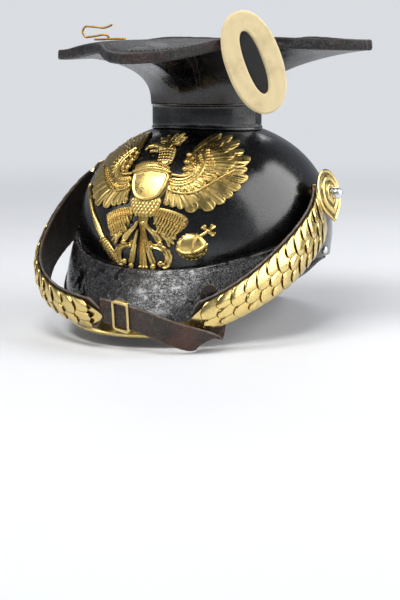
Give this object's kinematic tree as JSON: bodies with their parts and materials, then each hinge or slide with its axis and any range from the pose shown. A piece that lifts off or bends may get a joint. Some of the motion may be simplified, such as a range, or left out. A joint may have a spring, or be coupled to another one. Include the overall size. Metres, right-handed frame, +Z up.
{
  "type": "lancer czapka helmet",
  "caption": "Lancer helmet: round leather skull, waisted neck and square top board, front visor, brass eagle plate, chinscales with strap and buckle, oval field badge.",
  "frame": {"origin": "centre of the head opening, level with the front lower edge of the skull", "axes": "+Z up through the crown, the front of the helmet faces -Y, the wearer's left is +X"},
  "size_m": [0.2678, 0.2962, 0.2331],
  "materials": {
    "black_leather": "black lacquer, glossy and finely crackled",
    "worn_leather": "dark brown leather, worn and matt",
    "lining_leather": "undyed leather, matt",
    "brass": "polished brass with a light tarnish",
    "silvered": "silvered, smooth",
    "cream_cloth": "close cream cloth",
    "black_cloth": "black cloth"
  },
  "bodies": {
    "helmet": {"skull": "black_leather", "neck": "black_leather", "neck_flare": "black_leather", "mortarboard": "black_leather", "board_welt": "worn_leather", "front_visor": "black_leather", "visor_trim": "brass", "rear_peak": "black_leather", "front_plate": "brass", "plate_studs": "brass", "plate_nuts": "brass", "sweatband": "lining_leather", "lining_tongues": "lining_leather", "boss_posts": "brass", "boss_washers": "lining_leather", "boss_nuts": "silvered", "dome_nuts": "silvered", "side_studs": "silvered", "badge_socket": "brass", "cap_line_hook": "brass"},
    "chinscales": {"left_lining": "worn_leather", "right_lining": "worn_leather", "left_rosette": "brass", "right_rosette": "brass", "left_scale_01": "brass", "left_scale_02": "brass", "left_scale_03": "brass", "left_scale_04": "brass", "left_scale_05": "brass", "left_scale_06": "brass", "left_scale_07": "brass", "left_scale_08": "brass", "left_scale_09": "brass", "left_scale_10": "brass", "left_scale_11": "brass", "left_scale_12": "brass", "left_scale_13": "brass", "right_scale_01": "brass", "right_scale_02": "brass", "right_scale_03": "brass", "right_scale_04": "brass", "right_scale_05": "brass", "right_scale_06": "brass", "right_scale_07": "brass", "right_scale_08": "brass", "right_scale_09": "brass", "right_scale_10": "brass", "right_scale_11": "brass", "right_scale_12": "brass", "right_scale_13": "brass", "right_scale_14": "brass", "right_scale_15": "brass", "right_scale_16": "brass", "left_end_plate": "brass", "right_end_plate": "brass", "chin_strap": "worn_leather"},
    "buckle": {"buckle_frame": "brass"},
    "field_badge": {"badge_ring": "cream_cloth", "badge_centre": "black_cloth", "badge_tang": "brass"}
  },
  "joints": [
    {"name": "chinscale_swing", "type": "hinge", "parent": "helmet", "child": "chinscales", "pos_m": [0, 0.004, 0.058], "axis": [1, 0, 0], "range_deg": [-40, 55]},
    {"name": "buckle_slide", "type": "slide", "parent": "chinscales", "child": "buckle", "axis": [0.9855, -0.0493, -0.1626], "range_m": [-0.005, 0.005]},
    {"name": "field_badge_lift", "type": "slide", "parent": "helmet", "child": "field_badge", "axis": [-0.2649, -0.2649, 0.9272], "range_m": [0, 0.03]}
  ]
}
